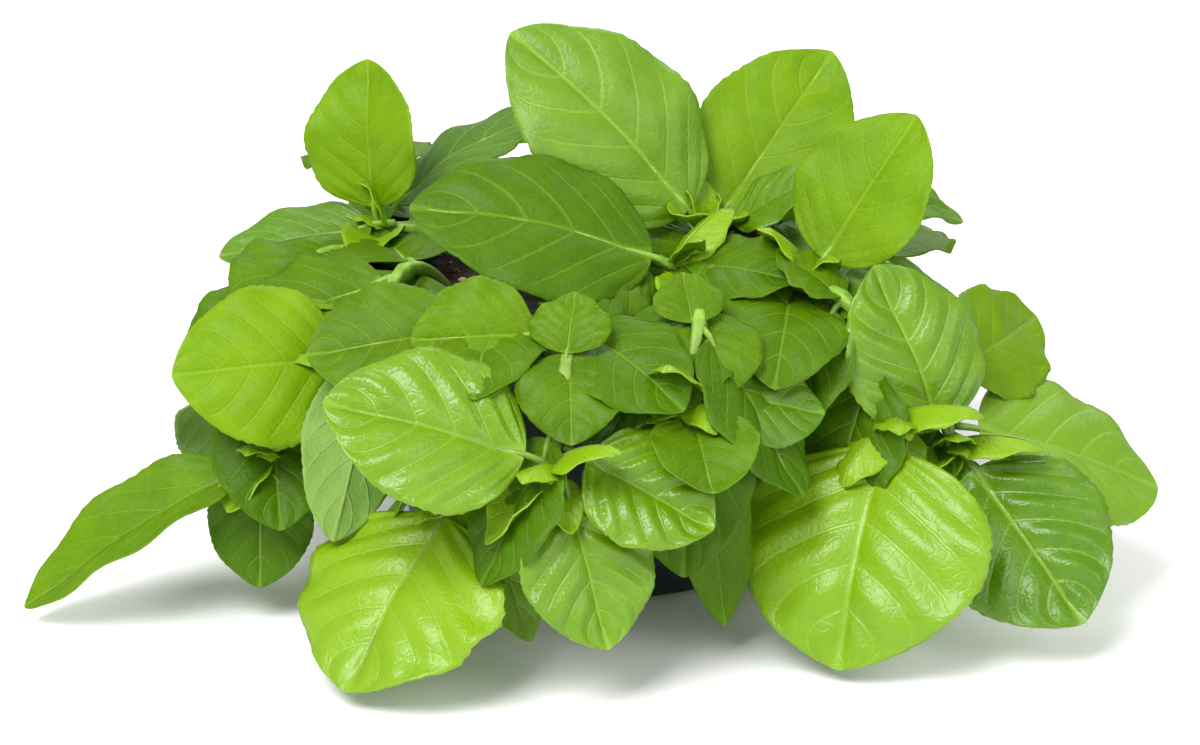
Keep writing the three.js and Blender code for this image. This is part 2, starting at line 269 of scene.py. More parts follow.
for hole in range(HOLES):
    angle = math.tau * (hole + 0.5) / HOLES
    place = Matrix.Translation((HOLE_CIRCLE * math.cos(angle), HOLE_CIRCLE * math.sin(angle), 0))
    bmesh.ops.create_cone(drills, cap_ends=True, segments=24, radius1=HOLE_RADIUS, radius2=HOLE_RADIUS,
                          depth=4 * POT_FLOOR, matrix=place)
drill = new_piece("drain_drill", drills, [pot_finish])
cut = pot.modifiers.new("drain_holes", "BOOLEAN")
cut.object = drill
cut.solver = "EXACT"
pot.data = bpy.data.meshes.new_from_object(pot.evaluated_get(bpy.context.evaluated_depsgraph_get()))
pot.modifiers.clear()
bpy.data.objects.remove(drill)

# ---- The soil ----
# A cake of dark peat that fills the pot to just below its rim. Its top is rough, with fibres, lumps
# and small pale grains of bark and stone that stick out of it.

SOIL_STEPS = 128
SOIL_RINGS = 40
SOIL_CROWN = 2.5 * MM  # how much higher the soil is in the middle
SOIL_GAP = 0.3 * MM  # between the soil and the pot
SOIL_LUMP = 1.6 * MM
SOIL_COLOURS = [(0.0, rgb(18, 13, 10)), (0.5, rgb(46, 34, 26)), (1.0, rgb(92, 70, 52))]
GRAIN_COLOURS = [(0.0, rgb(206, 160, 134)), (0.6, rgb(150, 112, 88)), (1.0, rgb(226, 214, 196))]
GRAINS = 260

soil_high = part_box("soil")[1]
soil_radius = soil_high.x


def soil_surface(x, y):
    """The height of the soil's top over a place."""
    share = min(1.0, math.hypot(x, y) / soil_radius)
    lumps = noise.fractal(Vector((x, y, 0)) / (9 * MM), 0.7, 2.1, 4)
    return soil_high.z - SOIL_CROWN * share ** 2 - 0.4 * MM + SOIL_LUMP * lumps * (1 - share ** 8)


soil_finish, shade, at = new_material("peat")
clods = shade.noise(at, 0.0035, 8, 0.7)
stretched = shade.node("ShaderNodeMapping", (), {
    "Vector": at, "Scale": (400, 1800, 900), "Rotation": (0, 0, 0.7)})
fibres = shade.node("ShaderNodeTexNoise", (), {
    "Vector": stretched, "Scale": 1.0, "Detail": 4.0, "Distortion": 2.5})
finished(shade, shade.node("ShaderNodeBsdfPrincipled", (), {
    "Base Color": shade.node("ShaderNodeValToRGB", {"stops": SOIL_COLOURS},
                             {"Fac": (0.6 * clods + 0.5 * fibres).rising(0.3, 0.85)}),
    "Roughness": 0.92,
    "Normal": shade.bump(clods + 0.5 * fibres, 0.0014),
}))
grain_finish, shade, at = new_material("bark_and_grit")
finished(shade, shade.node("ShaderNodeBsdfPrincipled", (), {
    "Base Color": shade.node("ShaderNodeValToRGB", {"stops": GRAIN_COLOURS},
                             {"Fac": shade.noise(at, 0.004, 6, 0.7).rising(0.35, 0.65)}),
    "Roughness": 0.8,
    "Normal": shade.bump(shade.noise(at, 0.0005, 3), 0.0003),
}))
soil_foot = POT_FLOOR + SOIL_GAP
soil_edge = soil_high.z - 4 * MM
profile = [(0, soil_foot), (wall_radius(POT_FLOOR) - POT_WALL - SOIL_GAP, soil_foot),
           (wall_radius(collar_foot) - POT_WALL - SOIL_GAP, collar_foot - POT_WALL),
           (soil_radius, collar_foot + POT_WALL)]
profile += [(soil_radius * (1 - ring / SOIL_RINGS), soil_edge) for ring in range(SOIL_RINGS + 1)]
soil = turned(profile, SOIL_STEPS)
for corner in soil.verts:
    if corner.co.z > collar_foot + 2 * POT_WALL:
        corner.co.z = soil_surface(corner.co.x, corner.co.y)
chance = random.Random(7)
for grain in range(GRAINS):
    turn = chance.uniform(0, math.tau)
    out = soil_radius * 0.96 * math.sqrt(chance.random())
    place = Vector((out * math.cos(turn), out * math.sin(turn), 0))
    place.z = soil_surface(place.x, place.y) + 0.1 * MM
    size = chance.uniform(0.4, 1.5) * MM
    spin = Matrix.Rotation(chance.uniform(0, math.tau), 4, Vector((chance.random(), chance.random(), 1)))
    form = Matrix.Diagonal((size, size * chance.uniform(0.4, 0.9), size * chance.uniform(0.3, 0.6), 1))
    made = bmesh.ops.create_icosphere(soil, subdivisions=1, radius=1,
                                      matrix=Matrix.Translation(place) @ spin @ form)
    for face in {f for v in made["verts"] for f in v.link_faces}:
        face.material_index = 1
new_piece("potting_soil", soil, [soil_finish, grain_finish], "soil", ["soil"])

# ---- The stems ----
# Soft green shoots, square in section with rounded corners, thicker at the foot and swollen at four
# joints. Each follows its CAD stem from its socket in the soil to its tip.

STEM_SIDES = 16
STEM_ROWS = 48
STEM_CORNER = 0.09  # how far its four corners stand out, as a share of its radius
STEM_JOINTS = (0.55, 0.72, 0.86, 1.0)  # shares of its length, the same on every stem
JOINT_SWELL = 0.22  # how much thicker a joint is, as a share of the stem's radius
STEM_COLOUR = rgb(112, 160, 34)
STEM_PALE = rgb(150, 188, 72)
STEM_WOODY = rgb(104, 116, 50)


def rows_of(node):
    """The corners of a CAD stem or leaf, in rows of eight from one end's single corner to the other's."""
    skin = bmesh.new()
    skin.from_mesh(node.data)
    bmesh.ops.remove_doubles(skin, verts=skin.verts, dist=1e-6)
    skin.verts.ensure_lookup_table()
    ends = sorted((v for v in skin.verts if len(v.link_edges) == 8), key=lambda v: v.index)
    left = set(skin.verts)
    row = [ends[0]]
    rows = []
    while row:
        rows.append([corner.co.copy() for corner in row])
        left -= set(row)
        ahead = {e.other_vert(v) for v in row for e in v.link_edges} & left
        row = []
        while ahead:
            corner = min(ahead, key=lambda v: v.index)
            if row:
                beside = [v for v in ahead if any(e.other_vert(v) is row[-1] for e in v.link_edges)]
                corner = min(beside, key=lambda v: v.index)
            row.append(corner)
            ahead.remove(corner)
    skin.free()
    return rows


def middle(points):
    """The middle of some points."""
    return sum(points, Vector()) / len(points)


def girth(row):
    """How far apart the furthest corners of a row are."""
    return max((a - b).length for a in row for b in row)


def eased(marks, values, at):
    """A value at a place between marks, on a smooth curve through the values."""
    if at <= marks[0] or at >= marks[-1]:
        near, far = (0, 1) if at <= marks[0] else (-1, -2)
        slope = (values[far] - values[near]) / (marks[far] - marks[near])
        return values[near] + slope * (at - marks[near])
    i = max(k for k, mark in enumerate(marks) if mark <= at)

    def slope(k):
        low, high = max(k - 1, 0), min(k + 1, len(marks) - 1)
        return (values[high] - values[low]) / (marks[high] - marks[low])

    gap = marks[i + 1] - marks[i]
    t = (at - marks[i]) / gap
    return ((2 * t ** 3 - 3 * t ** 2 + 1) * values[i] + (3 * t ** 2 - 2 * t ** 3) * values[i + 1]
            + gap * ((t ** 3 - 2 * t ** 2 + t) * slope(i) + (t ** 3 - t ** 2) * slope(i + 1)))


class Stem:
    """The middle line and the radius of a CAD stem."""

    def __init__(self, node):
        rows = rows_of(node)[1:-1]
        if girth(rows[0]) < girth(rows[-1]):
            rows.reverse()
        self.marks = [i / (len(rows) - 1) for i in range(len(rows))]
        self.places = [middle(row) for row in rows]
        self.radii = [girth(row) / 2 for row in rows]

    def place(self, share):
        return eased(self.marks, self.places, share)

    def radius(self, share):
        return eased(self.marks, self.radii, share)

    def way(self, share):
        return (self.place(share + 0.01) - self.place(share - 0.01)).normalized()


def add_rod(shape, place, radius, beside, rows, sides, corner=0.0, material=0):
    """Adds a closed rod along place(share), with its radius(share), and one side facing "beside"."""
    lines = []
    for row in range(rows + 1):
        share = min(max((row - 1) / (rows - 2), 0), 1)  # two rows lie together at each end, to close it
        along = (place(min(share + 0.5 / rows, 1)) - place(max(share - 0.5 / rows, 0))).normalized()
        side = (beside - along * beside.dot(along)).normalized()
        lines.append((place(share), side, along.cross(side), 0 if row in (0, rows) else radius(share)))
    skin = bmesh.ops.create_grid(shape, x_segments=rows, y_segments=sides, size=0.5)["verts"]
    for face in {face for v in skin for face in v.link_faces}:
        face.material_index = material
    for v in skin:
        centre, side, up, reach = lines[round((v.co.x + 0.5) * rows)]
        turn = math.tau * (v.co.y + 0.5)
        out = math.cos(turn) * side + math.sin(turn) * up
        v.co = centre + reach * (1 - corner * math.cos(4 * turn)) * out
    bmesh.ops.remove_doubles(shape, verts=skin, dist=1e-6)
    skin = [v for v in skin if v.is_valid]
    bmesh.ops.recalc_face_normals(shape, faces=list({face for v in skin for face in v.link_faces}))
    return skin


stem_finish, shade, at = new_material("stem_skin")
streaks = shade.noise(at, 0.003, 4, 0.6)
foot = 1 - at.part(2).rising(POT_HEIGHT - 2 * MM, POT_HEIGHT + 9 * MM)
finished(shade, shade.node("ShaderNodeBsdfPrincipled", (), {
    "Base Color": (0.55 * foot).mix(streaks.rising(0.35, 0.75).mix(STEM_COLOUR, STEM_PALE), STEM_WOODY),
    "Roughness": 0.42 + 0.15 * streaks,
    "Normal": shade.bump(shade.noise(at, 0.0007, 3), 0.0001),
    "Subsurface Weight": 0.15,
    "Subsurface Radius": (0.002, 0.004, 0.001),
    "Subsurface Scale": 0.5,
}))
stems = {}
for name in sorted(nodes):
    if not name.startswith("stem_"):
        continue
    shoot = name.removeprefix("stem_")
    stem = stems[shoot] = Stem(nodes[name])
    flat = (stem.place(1) - stem.place(0)).cross(stem.place(0.5) - stem.place(0)).normalized()

    def swollen(share, stem=stem):
        near = min(abs(share - joint) for joint in STEM_JOINTS)
        return stem.radius(share) * (1 + JOINT_SWELL * math.exp(-(near / 0.02) ** 2))

    skin = bmesh.new()
    add_rod(skin, stem.place, swollen, flat, STEM_ROWS, STEM_SIDES, STEM_CORNER)
    new_piece("shoot_" + shoot, skin, [stem_finish], "stem", [name])

# ---- The leaves ----
# Soft, broad blades that are domed and puckered between sunken veins, glossy above and paler and matt
# below. Each grows from its stem on a short round stalk that runs on under the blade as its midrib.

LEAF_WIDEST = 0.42  # where a blade is widest, as a share of its length
LEAF_FULLNESS = 0.52  # how blunt its outline is
LEAF_ROWS = 52
LEAF_COLUMNS = 32
LEAF_THICKNESS = 0.34 * MM
BLADE_SHARES = [0.1, 0.27, 0.45, 0.63, 0.8, 0.93]  # of the blade's length, at its CAD rows
VEIN_GAP = 0.195  # between two side veins, as a share of the blade's length
VEIN_SWEEP = 0.48  # how far a side vein runs towards the tip on its way out to the margin
NET_SCALE = 420.0  # cells to a metre in the net of fine veins
BROAD_HALF = 16 * MM  # half the width of a leaf that is puckered in full; narrower ones are smoother
RIB_END = 0.93  # where the midrib's rod ends, as a share of the blade's length
RIB_ROWS = 26
RIB_SIDES = 8
FLOOR_GAP = 0.4 * MM

# The deep colours are partly the leaves' own darker green and partly painted shade, for leaves that lie in
# shade.
LEAF_DEEP = rgb(52, 102, 0)
LEAF_FRESH = rgb(126, 170, 6)
LEAF_YOUNG = rgb(168, 204, 0)
LEAF_VEIN = rgb(160, 200, 62)
LEAF_GLOW = rgb(140, 190, 0)  # of the light that comes through a blade
SATIN_FRESH = rgb(136, 177, 0)
SATIN_DEEP = rgb(70, 110, 0)
LEAF_UNDER = rgb(146, 184, 84)
UNDER_DEEP = rgb(112, 154, 62)
UNDER_YOUNG = rgb(170, 204, 88)
LEAF_UNDER_VEIN = rgb(186, 212, 132)


def outline(t):
    """Half a blade's width at a share of its length, as a share of its widest."""
    t = min(max(t, 0.0), 1.0)
    fall = LEAF_FULLNESS * (1 - LEAF_WIDEST) / LEAF_WIDEST
    return (t / LEAF_WIDEST) ** LEAF_FULLNESS * ((1 - t) / (1 - LEAF_WIDEST)) ** fall


class Blade:
    """A leaf's form: its stalk, and its midrib, its side and its sag at shares of the blade's length."""

    def __init__(self, stalk, marks, midrib, sides, sags):
        self.stalk = stalk
        self.marks = marks
        self.inner = marks[1:-1]
        self.midrib = midrib
        self.sides = sides
        self.sags = sags

    def spine(self, t):
        return eased(self.marks, self.midrib, t)

    def side(self, t):
        return eased(self.inner, self.sides, min(max(t, 0.05), 0.97))

    def sag(self, t):
        return eased(self.inner, self.sags, min(max(t, 0.05), 0.97))

    def up(self, t):
        along = self.spine(min(t + 0.01, 1)) - self.spine(max(t - 0.01, 0))
        return along.cross(self.side(t)).normalized()


def read_blade(node):
    """The form of a CAD leaf. The groove along its stalk shows which side of the leaf is its upper."""
    rows = rows_of(node)
    if girth(rows[1]) > girth(rows[-2]):
        rows.reverse()
    stalk = rows[1]
    stalk_middle = middle(stalk)
    up = (min(stalk, key=lambda corner: (corner - stalk_middle).length) - stalk_middle).normalized()
    base = middle(rows[2])
    midrib, sides, sags = [base], [], []
    for number, row in enumerate(rows[3:-1]):
        pairs = [(i, i + 4) for i in range(4)]
        edge = max(pairs, key=lambda pair: (row[pair[0]] - row[pair[1]]).length)[0]
        top, bottom = row[(edge + 2) % 8], row[(edge + 6) % 8]
        if (top - bottom).dot(up) < 0:
            top, bottom = bottom, top
        up = (top - bottom).normalized()
        centre = (top + bottom) / 2
        side = (row[edge] - row[edge + 4]) / 2
        if up.cross(centre - midrib[-1]).dot(side) < 0:
            side = -side
        wide = outline(BLADE_SHARES[number])
        midrib.append(centre)
        sides.append(side / wide)
        sags.append(((row[edge] + row[edge + 4]) / 2 - centre) / wide ** 2)
    midrib.append(rows[-1][0])
    return Blade([rows[0][0], base], [0.0, *BLADE_SHARES, 1.0], midrib, sides, sags)


def vein_phase(t, across):
    """Which side vein a place on the blade is at: whole at a vein, and a half midway between two."""
    return (t - VEIN_SWEEP * abs(across) ** 1.25 * (1 - 0.35 * t)) / VEIN_GAP + 0.25


def add_leaf(shape, blade, seed, pucker, wave, tone, gloss, rows=LEAF_ROWS, columns=LEAF_COLUMNS,
             stalk_radius=0.8 * MM):
    """Adds a leaf: its blade, with pucker and wave in millimetres, and its stalk and midrib."""
    # Each leaf carries its tone, which is partly painted shade, and its gloss for its skin to read.
    tone_and_shade_layer = shape.verts.layers.float.get("tone") or shape.verts.layers.float.new("tone")
    shines = shape.verts.layers.float.get("gloss") or shape.verts.layers.float.new("gloss")
    chart = shape.loops.layers.uv.get("blade") or shape.loops.layers.uv.new("blade")
    chance = random.Random(seed)
    phases = [chance.uniform(0, math.tau) for _ in range(4)]
    waves = chance.uniform(2.2, 3.6)
    stray = Vector([chance.uniform(-50, 50) for _ in range(3)])
    half_width = max(side.length for side in blade.sides)
    pucker *= min(1, half_width / BROAD_HALF)
    wave *= min(1, half_width / BROAD_HALF)
    sink = (1.1 + pucker) * MM
    length = sum((b - a).length for a, b in zip(blade.midrib, blade.midrib[1:]))
    earlier = set(shape.faces)
    grid = bmesh.ops.create_grid(shape, x_segments=rows, y_segments=columns, size=0.5)["verts"]
    spot = {}
    for v in grid:
        t = 0.5 - 0.5 * math.cos(math.pi * (v.co.x + 0.5))
        spot[v] = (min(max(t, 0.0), 1.0), math.copysign(abs(2 * v.co.y) ** 1.25, v.co.y))
    for face in set(shape.faces) - earlier:
        for loop in face.loops:
            t, across = spot[loop.vert]
            loop[chart].uv = (t, 0.5 + across / 2)
    across_row = {}
    for v in grid:
        t, across = spot[v]
        key = round(t, 6)
        if key not in across_row:
            across_row[key] = (blade.spine(t), blade.side(t), blade.sag(t), blade.up(t), outline(t))
        spine, side, sag, up, wide = across_row[key]
        out = abs(across)
        from_rib = out * wide * half_width
        cell = math.sin(math.pi * vein_phase(t, across)) ** 2
        ends = min(1, t / 0.12) * min(1, (1 - t) / 0.15)
        quilt = pucker * MM * (cell - 0.45) * min(1, from_rib / (4 * MM)) * (1 - out ** 6) * ends
        crease = -0.3 * sink * math.exp(-(from_rib / (1.2 * MM)) ** 2) * ends
        crease -= 0.7 * sink * math.exp(-(from_rib / (5 * MM)) ** 2) * ends
        ripple = wave * MM * out ** 3 * ends * math.sin(math.tau * waves * t + phases[0 if across > 0 else 1])
        reach = across * wide * (1 + 0.012 * math.sin(math.tau * 15 * t) * ends)
        place = spine + reach * side + reach ** 2 * sag
        lumps = 0.8 * wave * MM * ends * noise.noise(place / (14 * MM) + stray)
        v.co = place + up * (quilt + crease + ripple + lumps)
        v[tone_and_shade_layer] = tone
        v[shines] = gloss
    bmesh.ops.remove_doubles(shape, verts=[v for v in grid if spot[v][0] in (0.0, 1.0)], dist=1e-6)
    faces = [face for face in shape.faces if face not in earlier]
    made = bmesh.ops.solidify(shape, geom=faces, thickness=LEAF_THICKNESS)
    for item in made["geom"]:
        if isinstance(item, bmesh.types.BMFace):
            item.material_index = 1
    stalk_length = (blade.stalk[1] - blade.stalk[0]).length
    stalk_share = stalk_length / (stalk_length + length * RIB_END)

    def rib_place(share):
        if share < stalk_share:
            along = share / stalk_share
            start, end = blade.stalk
            bend = stalk_length * (blade.spine(0.05) - blade.spine(0)).normalized()
            return start.lerp(end, along).lerp(end - bend * (1 - along), 0.5 * along)
        t = RIB_END * (share - stalk_share) / (1 - stalk_share)
        depth = min(1, t / 0.12) * min(1, (1 - t) / 0.15) * (sink + 0.3 * MM + 0.4 * rib_radius(share))
        return blade.spine(t) - blade.up(t) * depth

    def rib_radius(share):
        fade = max(0.0, (share - stalk_share) / (1 - stalk_share))
        return stalk_radius * (1 - 0.8 * fade ** 0.5) * (1 + 0.25 * math.exp(-(share / 0.05) ** 2))

    for v in add_rod(shape, rib_place, rib_radius, blade.side(0.05), RIB_ROWS, RIB_SIDES, material=2):
        v[tone_and_shade_layer] = tone
        v[shines] = gloss
    for v in shape.verts:
        v.co.z = max(v.co.z, FLOOR_GAP)


def leaf_material(name, fresh, deep, young, vein, under=False, shine=0.6, vein_share=0.34):
    """A leaf's skin. Veins and colour follow the blade, and each leaf has its own tone and gloss. Its tone
    is partly the leaf's own green and partly painted shade.
    """
    material, shade, at = new_material(name)
    tone = shade.node("ShaderNodeAttribute", {"attribute_name": "tone"}, output="Fac")
    gloss = shade.node("ShaderNodeAttribute", {"attribute_name": "gloss"}, output="Fac")
    chart = shade.node("ShaderNodeUVMap", {"uv_map": "blade"})
    t = chart.part(0)
    out = abs(chart.part(1) * 2 - 1)
    phase = vein_phase(t, out)
    from_vein = abs(phase.math("FRACT", phase + 0.5) - 0.5)
    inside = 1 - out.rising(0.72, 0.98)
    side_vein = (1 - from_vein.rising(0.02, 0.075)) * inside * t.rising(0.0, 0.1)
    rib = 1 - (out * (t * (1 - t) * 4)).rising(0.010, 0.045)
    veins = side_vein.math("MAXIMUM", 0.75 * side_vein, rib)
    cells = shade.node("ShaderNodeTexVoronoi", {"feature": "DISTANCE_TO_EDGE"},
                       {"Vector": at, "Scale": NET_SCALE})
    net = 1 - cells.rising(0.02, 0.16)
    mottle = shade.noise(at, 0.012, 4, 0.6)
    fine = shade.noise(at, 0.0011, 3, 0.6)
    edge = out.rising(0.93, 1.0)
    # Painted shade, in part: the leaf's tone, its own green and the shade it lies in, blends deep to fresh.
    body = (tone + 0.5 * (mottle - 0.5)).rising(0.0, 1.0)
    colour = body.mix(deep, fresh)
    colour = (tone.rising(0.7, 1.3) * (1 - 0.6 * t)).mix(colour, young)
    colour = (0.15 * vein_share * net).mix(colour, vein)
    colour = (vein_share * veins + 0.5 * vein_share * edge).mix(colour, vein)
    relief = 0.45 * fine + 0.2 * (1 - net) + (0.9 * veins if under else 0.8 * (1 - veins))
    normal = shade.bump(relief, 0.00028 if under else 0.00022, 0.9)
    roughness = (0.62 + 0.12 * fine) if under else (0.50 - 0.26 * gloss + 0.10 * mottle + 0.05 * fine)
    skin = shade.node("ShaderNodeBsdfPrincipled", (), {
        "Base Color": colour,
        "Roughness": roughness,
        "Normal": normal,
        "Specular IOR Level": shine,
    })
    glow = shade.node("ShaderNodeBsdfTranslucent", (), {"Color": LEAF_GLOW, "Normal": normal})
    finished(shade, shade.node("ShaderNodeMixShader", (), {0: 0.30, 1: skin, 2: glow}))
    return material


glossy_skin = leaf_material("leaf_glossy_skin", LEAF_FRESH, LEAF_DEEP, LEAF_YOUNG, LEAF_VEIN)
satin_skin = leaf_material("leaf_satin_skin", SATIN_FRESH, SATIN_DEEP, LEAF_YOUNG, LEAF_VEIN,
                           shine=0.2, vein_share=0.22)
under_skin = leaf_material("leaf_under_skin", LEAF_UNDER, UNDER_DEEP, UNDER_YOUNG, LEAF_UNDER_VEIN,
                           under=True, shine=0.35, vein_share=0.3)
GLOSSY_LEAF = [glossy_skin, under_skin, stem_finish]
SATIN_LEAF = [satin_skin, under_skin, stem_finish]

# Each leaf's own look: how puckered it is between its veins and how wavy its margin is, in
# millimetres, its tone from deep to fresh green, and its gloss. The tone is partly the leaf's own green
# and partly painted shade: leaves that lie in shade in the plant get deeper tones. Those below
# SATIN_BELOW are satin.
SATIN_BELOW = 0.5
USUAL = dict(pucker=0.9, wave=1.0, tone=0.45, gloss=0.55)
LOOKS = {
    "leaf_left_high_1": dict(pucker=0.5, tone=0.6, gloss=0.4),
    "leaf_left_high_2": dict(pucker=0.5, tone=0.35, gloss=0.55),
    "leaf_left_1": dict(pucker=0.5, tone=0.66, gloss=0.35),
    "leaf_left_2": dict(pucker=0.5, tone=0.55, gloss=0.4),
    "leaf_left_3": dict(pucker=0.4, tone=0.6, gloss=0.3),
    "leaf_far_left_1": dict(pucker=0.4, tone=0.4, gloss=0.4),
    "leaf_far_left_2": dict(pucker=0.5, tone=0.15, gloss=0.4),
    "leaf_front_1": dict(pucker=1.4, wave=1.0, tone=0.7, gloss=0.95),
    "leaf_front_2": dict(pucker=1.6, wave=1.0, tone=0.65, gloss=1.0),
    "leaf_front_3": dict(pucker=1.3, wave=1.0, tone=0.65, gloss=0.9),
    "leaf_front_4": dict(pucker=0.5, tone=0.4, gloss=0.35),
    "leaf_low_left_1": dict(pucker=1.0, wave=1.4, tone=0.95, gloss=0.75),
    "leaf_low_left_2": dict(pucker=0.6, tone=0.7, gloss=0.5),
    "leaf_low_left_4": dict(pucker=0.4, tone=0.3, gloss=0.3),
    "leaf_top_1": dict(pucker=0.6, wave=1.0, tone=0.6, gloss=0.5),
    "leaf_top_2": dict(pucker=0.5, wave=0.7, tone=0.55, gloss=0.35),
    "leaf_top_3": dict(pucker=1.0, tone=0.45, gloss=0.7),
    "leaf_top_4": dict(pucker=0.8, tone=0.5, gloss=0.8),
    "leaf_middle_1": dict(pucker=0.5, wave=0.8, tone=0.16, gloss=0.45),
    "leaf_right_high_1": dict(pucker=0.3, wave=0.7, tone=0.55, gloss=0.3),
    "leaf_right_high_2": dict(pucker=0.5, tone=0.5, gloss=0.4),
    "leaf_right_1": dict(pucker=1.4, wave=1.0, tone=0.6, gloss=1.0),
    "leaf_right_2": dict(pucker=0.4, tone=0.5, gloss=0.35),
    "leaf_right_3": dict(pucker=0.5, wave=0.8, tone=0.75, gloss=0.5),
    "leaf_right_4": dict(pucker=1.6, wave=1.0, tone=0.42, gloss=0.95),
    "leaf_front_right_1": dict(pucker=1.1, wave=1.3, tone=0.85, gloss=0.8),
    "leaf_low_right_1": dict(pucker=1.2, tone=0.2, gloss=0.9),
    "leaf_low_right_2": dict(pucker=0.7, tone=0.4, gloss=0.5),
    "leaf_low_right_3": dict(pucker=0.4, tone=0.3, gloss=0.4),
    "leaf_low_right_4": dict(pucker=0.5, tone=0.15, gloss=0.4),
    "leaf_low_right_5": dict(pucker=0.5, tone=0.1, gloss=0.3),
}
for number, name in enumerate(sorted(nodes)):
    if name.startswith("leaf_"):
        skin = bmesh.new()
        look = USUAL | LOOKS.get(name, {})
        add_leaf(skin, read_blade(nodes[name]), number + 1, **look)
        finish = GLOSSY_LEAF if look["gloss"] >= SATIN_BELOW else SATIN_LEAF
        new_piece(name.replace("leaf_", "blade_"), skin, finish, "leaf", [name])

# ---- The side leaves ----
# Smaller leaves, satin and deep green, that grow lower down on the same stems and fill the plant out.
# Their green is darkened with painted shade, as they lie deep in the plant. The CAD model leaves them
# out. Each is placed as the CAD leaves are, by a line from base to tip.

SIDE_ROWS = 36
SIDE_COLUMNS = 22
SIDE_PAINTED_SHADE = 0.6  # painted shade: they lie deeper in the plant, in its shade, so their tones are darker than the table gives
SIDE_SEED = 500
SIDE_STALK = 0.8 * MM  # the stalk's radius on a leaf of SIDE_FULL millimetres or more
SIDE_FULL = 36


def posed_blade(stem, at, heading, rise, reach, width, bend=30, curl=25, roll=0, stalk=4 * MM):
    """The form of a leaf that grows from a stem at a share of its length. Its heading, its rise and
    its reach are those of the straight line from its base to its tip, as for the CAD leaves."""
    a, b = math.radians(heading), math.radians(rise)
    chord = Vector((math.cos(b) * math.cos(a), math.cos(b) * math.sin(a), math.sin(b)))
    up = (Vector((0, 0, 1)) - chord * chord.z).normalized()
    up.rotate(Matrix.Rotation(math.radians(roll), 3, chord))
    side = up.cross(chord)
    reach, width = reach * MM, width * MM
    half = math.radians(bend) / 2
    arch = reach / (2 * math.sin(half))
    dome = width / math.radians(curl)
    stalk_share = stalk / (2 * arch * half)
    base = stem.place(at)

    def point(share):
        turn = half * (1 - 2 * share)
        ahead = math.sin(half) - math.sin(turn)
        return base + chord * arch * ahead + up * arch * (math.cos(turn) - math.cos(half))

    def above(share):
        turn = half * (1 - 2 * share)
        return up * math.cos(turn) - chord * math.sin(turn)

    marks = [0.0, *BLADE_SHARES, 1.0]
    shares = [stalk_share + (1 - stalk_share) * t for t in marks]
    drop = dome * (1 - math.cos(width / 2 / dome))
    return Blade([base, point(stalk_share)], marks, [point(share) for share in shares],
                 [side * width / 2 for _ in BLADE_SHARES], [-drop * above(share) for share in shares[1:-1]])


